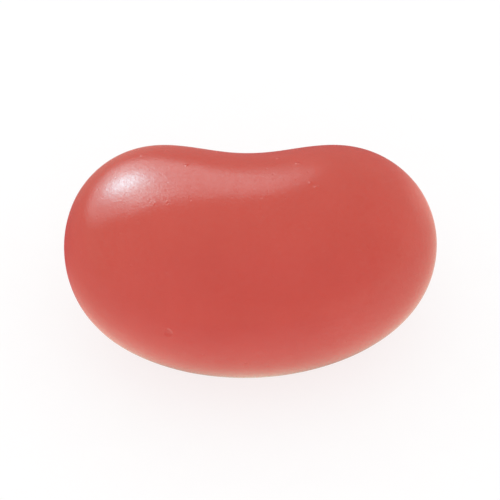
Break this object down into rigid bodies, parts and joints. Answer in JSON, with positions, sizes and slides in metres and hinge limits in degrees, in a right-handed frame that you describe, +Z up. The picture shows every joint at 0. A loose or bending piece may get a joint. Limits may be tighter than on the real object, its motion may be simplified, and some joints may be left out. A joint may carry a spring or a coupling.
{
  "type": "jelly bean",
  "caption": "Kidney-shaped sugar-shelled chewy sweet in glossy coral red, lying on its side with a shallow dent along the back.",
  "frame": {"origin": "under the middle of the bean's box, on the small flat it rests on", "axes": "+X along the bean from tip to tip, +Y across it towards the dent, +Z up through its thickness"},
  "size_m": [0.016, 0.0108, 0.0088],
  "materials": {
    "shell": "polished sugar shell, coral red, softly glossy, with a very fine orange-peel texture and a few tiny pits"
  },
  "bodies": {
    "root": {"bean": "shell"}
  },
  "joints": []
}
